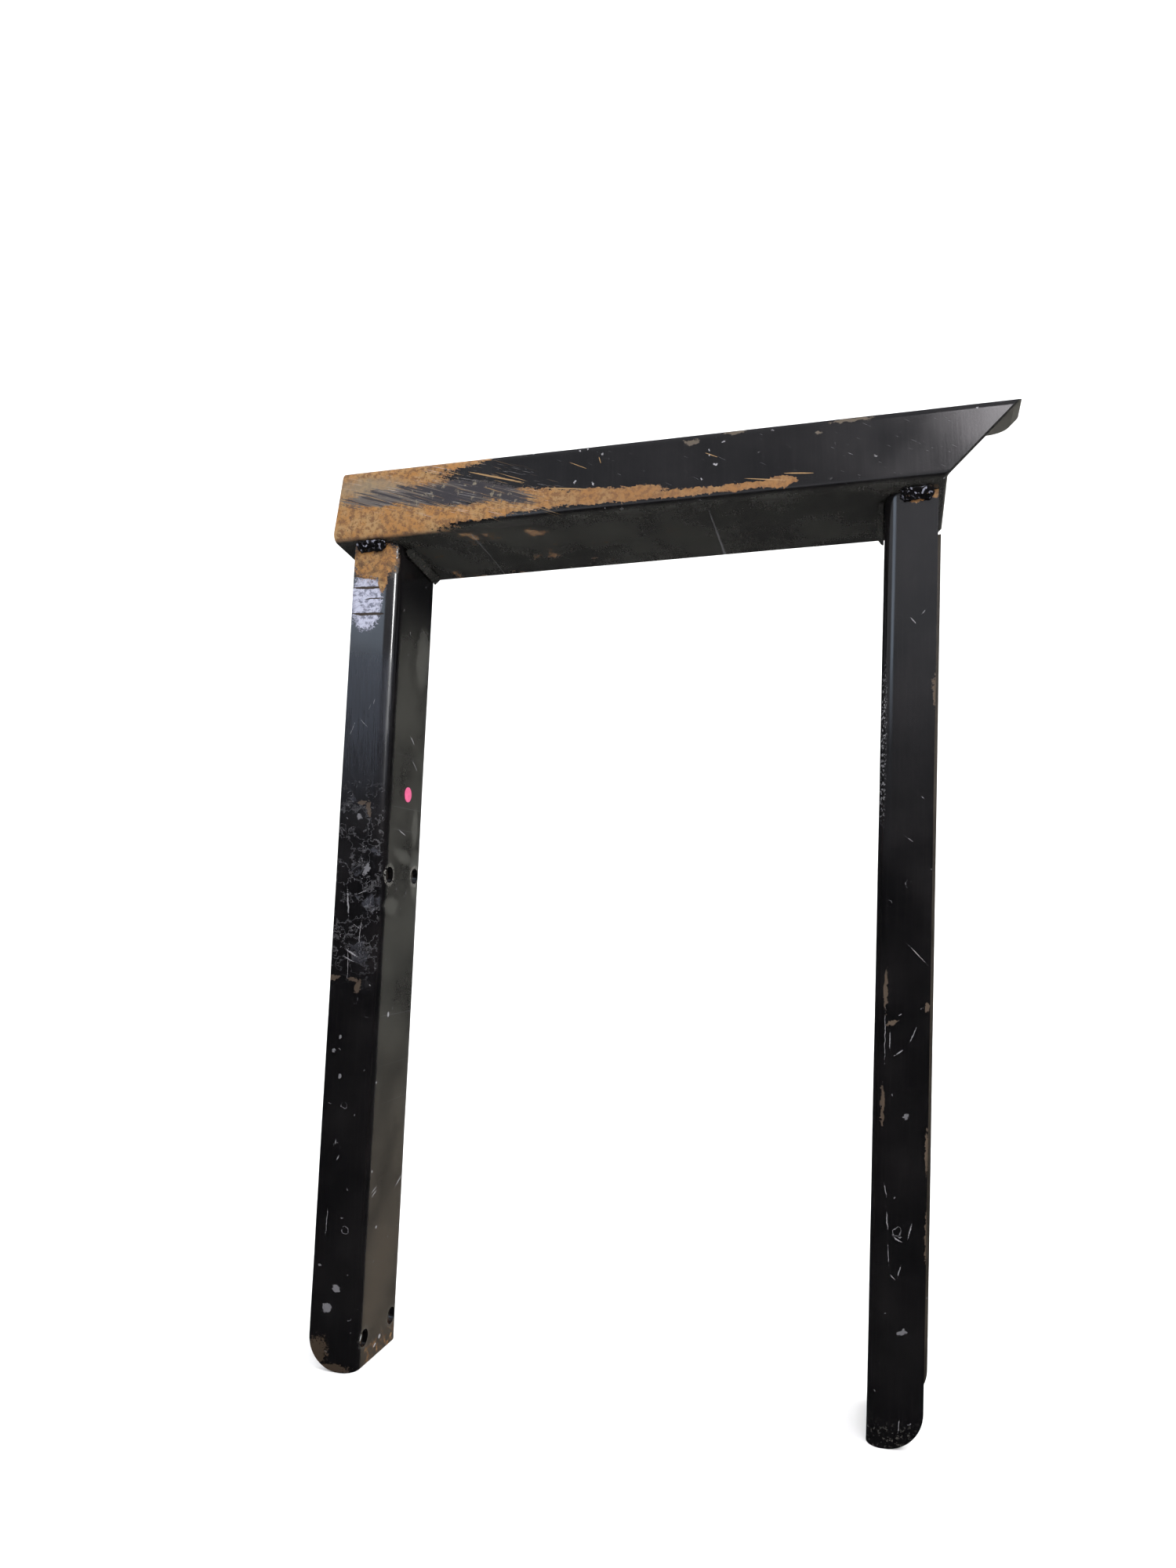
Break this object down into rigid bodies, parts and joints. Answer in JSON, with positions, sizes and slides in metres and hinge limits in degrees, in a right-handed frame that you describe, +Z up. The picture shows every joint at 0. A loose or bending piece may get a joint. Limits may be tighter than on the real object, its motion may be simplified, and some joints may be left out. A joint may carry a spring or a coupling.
{
  "type": "welded trestle frame",
  "caption": "Rigid steel trestle end frame: channel legs welded under a deep, tilted channel rail with one mitred end.",
  "frame": {"origin": "centre of the bounding box, on the floor under the feet", "axes": "+Z up, along the legs; +X along the rail towards its mitred end; +Y from the rail's web to the back"},
  "size_m": [0.554, 0.0916, 0.7709],
  "materials": {
    "rail_paint": "gloss black paint over steel, worn through to orange-brown rust at the left end",
    "leg_paint": "gloss black paint with chips, scratches and spots of rust",
    "weld_metal": "weld bead painted black with the frame",
    "sticker_vinyl": "matt pink vinyl dot"
  },
  "bodies": {
    "root": {"top_rail": "rail_paint", "left_leg": "leg_paint", "right_leg": "leg_paint", "left_front_weld": "weld_metal", "left_inner_weld": "weld_metal", "left_back_weld": "weld_metal", "right_front_weld": "weld_metal", "right_inner_weld": "weld_metal", "right_back_weld": "weld_metal", "marker_sticker": "sticker_vinyl"}
  },
  "joints": []
}
